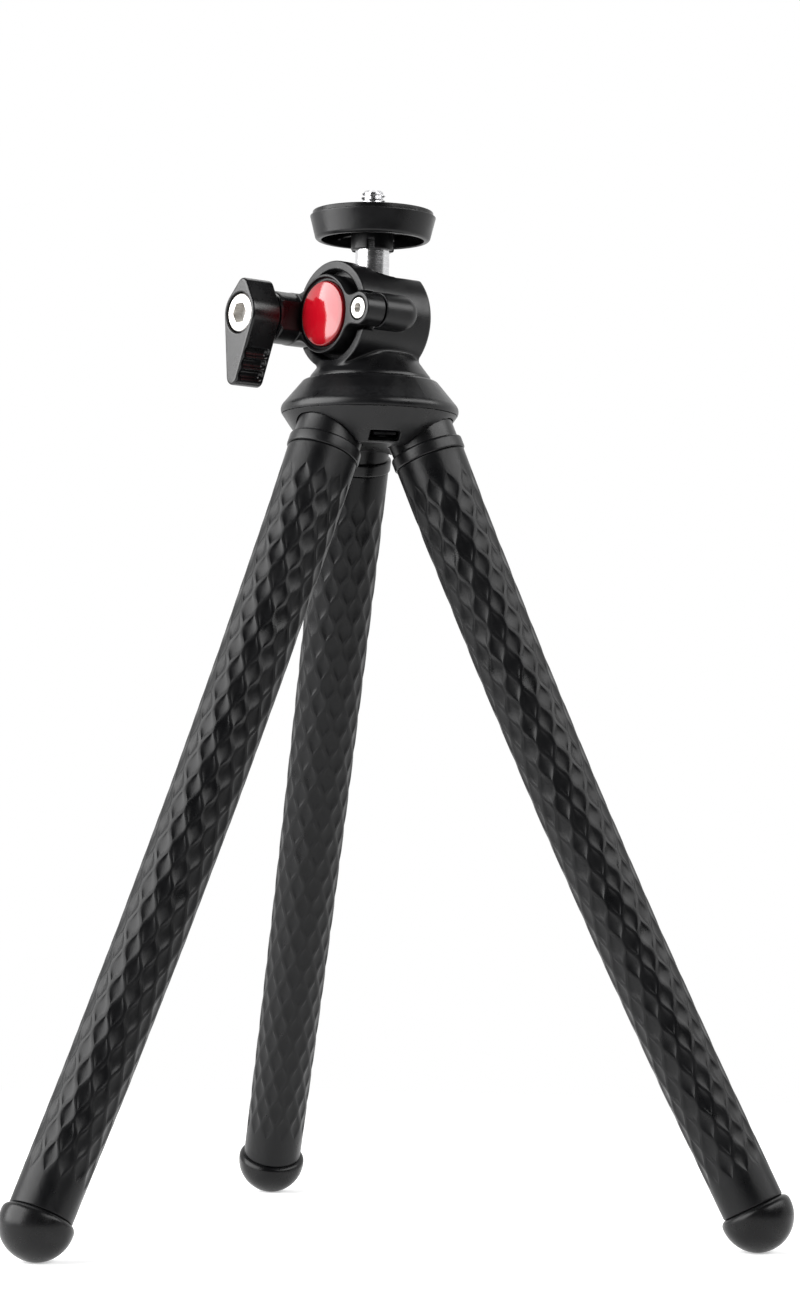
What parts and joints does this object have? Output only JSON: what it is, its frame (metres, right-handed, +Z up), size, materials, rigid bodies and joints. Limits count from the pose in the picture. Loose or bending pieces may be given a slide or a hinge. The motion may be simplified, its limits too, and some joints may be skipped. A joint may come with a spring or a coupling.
{
  "type": "flexible leg tripod",
  "caption": "Tabletop tripod with bendable rubber-covered legs, ball feet and a side-clamped ball head that carries a round camera plate with a threaded stud.",
  "frame": {"origin": "on the floor, under the axis of the stem, where the three feet stand at height 0", "axes": "+Z up along the stem and camera screw; -Y is the front, where the red cap faces; +X is the side of the small screw"},
  "size_m": [0.199, 0.1812, 0.2707],
  "materials": {
    "satin_plastic": "satin moulded black",
    "leg_rubber": "matte black, moulded diamond relief",
    "foot_rubber": "matte black",
    "polished_steel": "polished",
    "screw_steel": "bright plated",
    "ball_metal": "black anodised",
    "insert_brass": "knurled",
    "cup_plastic": "natural nylon",
    "cap_red": "glossy domed",
    "core_wire": "drawn wire"
  },
  "bodies": {
    "base": {"base_dome": "satin_plastic", "base_lower": "satin_plastic", "head_stud": "screw_steel", "stud_nut": "screw_steel", "leg_screws": "screw_steel", "core_roots": "core_wire", "front_ferrule": "satin_plastic", "right_ferrule": "satin_plastic", "left_ferrule": "satin_plastic", "front_sleeve_0": "leg_rubber", "right_sleeve_0": "leg_rubber", "left_sleeve_0": "leg_rubber"},
    "head": {"head_housing": "satin_plastic", "ball_seat": "cup_plastic", "jaw_screw": "screw_steel", "bolt_insert": "insert_brass"},
    "jaw": {"clamp_jaw": "satin_plastic", "jaw_pad": "cup_plastic", "jaw_cap": "cap_red"},
    "knob": {"lock_knob": "satin_plastic", "knob_bolt": "screw_steel", "knob_washer": "satin_plastic"},
    "ball": {"ball": "ball_metal"},
    "platform": {"stem": "polished_steel", "camera_platform": "satin_plastic", "platform_pad": "foot_rubber"},
    "front_leg_1": {"front_sleeve_1": "leg_rubber", "front_core_1": "core_wire"},
    "front_leg_2": {"front_sleeve_2": "leg_rubber", "front_core_2": "core_wire"},
    "front_leg_3": {"front_sleeve_3": "leg_rubber", "front_core_3": "core_wire"},
    "front_leg_4": {"front_sleeve_4": "leg_rubber", "front_core_4": "core_wire"},
    "front_leg_5": {"front_sleeve_5": "leg_rubber", "front_core_5": "core_wire", "front_foot": "foot_rubber"},
    "right_leg_1": {"right_sleeve_1": "leg_rubber", "right_core_1": "core_wire"},
    "right_leg_2": {"right_sleeve_2": "leg_rubber", "right_core_2": "core_wire"},
    "right_leg_3": {"right_sleeve_3": "leg_rubber", "right_core_3": "core_wire"},
    "right_leg_4": {"right_sleeve_4": "leg_rubber", "right_core_4": "core_wire"},
    "right_leg_5": {"right_sleeve_5": "leg_rubber", "right_core_5": "core_wire", "right_foot": "foot_rubber"},
    "left_leg_1": {"left_sleeve_1": "leg_rubber", "left_core_1": "core_wire"},
    "left_leg_2": {"left_sleeve_2": "leg_rubber", "left_core_2": "core_wire"},
    "left_leg_3": {"left_sleeve_3": "leg_rubber", "left_core_3": "core_wire"},
    "left_leg_4": {"left_sleeve_4": "leg_rubber", "left_core_4": "core_wire"},
    "left_leg_5": {"left_sleeve_5": "leg_rubber", "left_core_5": "core_wire", "left_foot": "foot_rubber"}
  },
  "joints": [
    {"name": "head_pan", "type": "hinge", "parent": "base", "child": "head", "pos_m": [0, 0, 0.22081], "axis": [0, 0, 1], "continuous": true},
    {"name": "ball_tilt", "type": "hinge", "parent": "head", "child": "ball", "pos_m": [0, 0, 0.23681], "axis": [-1, 0, 0], "range_deg": [-15, 90]},
    {"name": "stem_swivel", "type": "hinge", "parent": "ball", "child": "platform", "pos_m": [0, 0, 0.23681], "axis": [0, 0, 1], "continuous": true},
    {"name": "jaw_clamp", "type": "slide", "parent": "head", "child": "jaw", "axis": [0, -1, 0], "range_m": [0, 0.0005]},
    {"name": "knob_turn", "type": "hinge", "parent": "jaw", "child": "knob", "pos_m": [-0.0144, 0, 0.23681], "axis": [0, -1, 0], "range_deg": [0, 180]},
    {"name": "front_curl_1", "type": "hinge", "parent": "base", "child": "front_leg_1", "pos_m": [0.00169, -0.02413, 0.18141], "axis": [-0.9976, -0.0698, 0], "range_deg": [-30, 30]},
    {"name": "front_sway_2", "type": "hinge", "parent": "front_leg_1", "child": "front_leg_2", "pos_m": [0.00273, -0.03906, 0.14648], "axis": [0.0639, -0.9138, 0.4011], "range_deg": [-30, 30]},
    {"name": "front_curl_3", "type": "hinge", "parent": "front_leg_2", "child": "front_leg_3", "pos_m": [0.00381, -0.05454, 0.11179], "axis": [-0.9976, -0.0698, 0], "range_deg": [-30, 30]},
    {"name": "front_sway_4", "type": "hinge", "parent": "front_leg_3", "child": "front_leg_4", "pos_m": [0.00493, -0.07056, 0.07735], "axis": [0.063, -0.9008, 0.4297], "range_deg": [-30, 30]},
    {"name": "front_curl_5", "type": "hinge", "parent": "front_leg_4", "child": "front_leg_5", "pos_m": [0.00609, -0.08712, 0.04317], "axis": [-0.9976, -0.0698, 0], "range_deg": [-30, 30]},
    {"name": "right_curl_1", "type": "hinge", "parent": "base", "child": "right_leg_1", "pos_m": [0.02005, 0.01353, 0.18141], "axis": [0.5592, -0.829, 0], "range_deg": [-30, 30]},
    {"name": "right_sway_2", "type": "hinge", "parent": "right_leg_1", "child": "right_leg_2", "pos_m": [0.03246, 0.0219, 0.14648], "axis": [0.7594, 0.5122, 0.4011], "range_deg": [-30, 30]},
    {"name": "right_curl_3", "type": "hinge", "parent": "right_leg_2", "child": "right_leg_3", "pos_m": [0.04533, 0.03057, 0.11179], "axis": [0.5592, -0.829, 0], "range_deg": [-30, 30]},
    {"name": "right_sway_4", "type": "hinge", "parent": "right_leg_3", "child": "right_leg_4", "pos_m": [0.05864, 0.03955, 0.07735], "axis": [0.7486, 0.5049, 0.4297], "range_deg": [-30, 30]},
    {"name": "right_curl_5", "type": "hinge", "parent": "right_leg_4", "child": "right_leg_5", "pos_m": [0.0724, 0.04884, 0.04317], "axis": [0.5592, -0.829, 0], "range_deg": [-30, 30]},
    {"name": "left_curl_1", "type": "hinge", "parent": "base", "child": "left_leg_1", "pos_m": [-0.02174, 0.0106, 0.18141], "axis": [0.4384, 0.8988, 0], "range_deg": [-30, 30]},
    {"name": "left_sway_2", "type": "hinge", "parent": "left_leg_1", "child": "left_leg_2", "pos_m": [-0.0352, 0.01717, 0.14648], "axis": [-0.8233, 0.4016, 0.4011], "range_deg": [-30, 30]},
    {"name": "left_curl_3", "type": "hinge", "parent": "left_leg_2", "child": "left_leg_3", "pos_m": [-0.04914, 0.02397, 0.11179], "axis": [0.4384, 0.8988, 0], "range_deg": [-30, 30]},
    {"name": "left_sway_4", "type": "hinge", "parent": "left_leg_3", "child": "left_leg_4", "pos_m": [-0.06358, 0.03101, 0.07735], "axis": [-0.8116, 0.3958, 0.4297], "range_deg": [-30, 30]},
    {"name": "left_curl_5", "type": "hinge", "parent": "left_leg_4", "child": "left_leg_5", "pos_m": [-0.07849, 0.03828, 0.04317], "axis": [0.4384, 0.8988, 0], "range_deg": [-30, 30]}
  ],
  "couplings": [
    {"joint": "jaw_clamp", "follows": "knob_turn", "m_per_rad": 0.00015915}
  ]
}
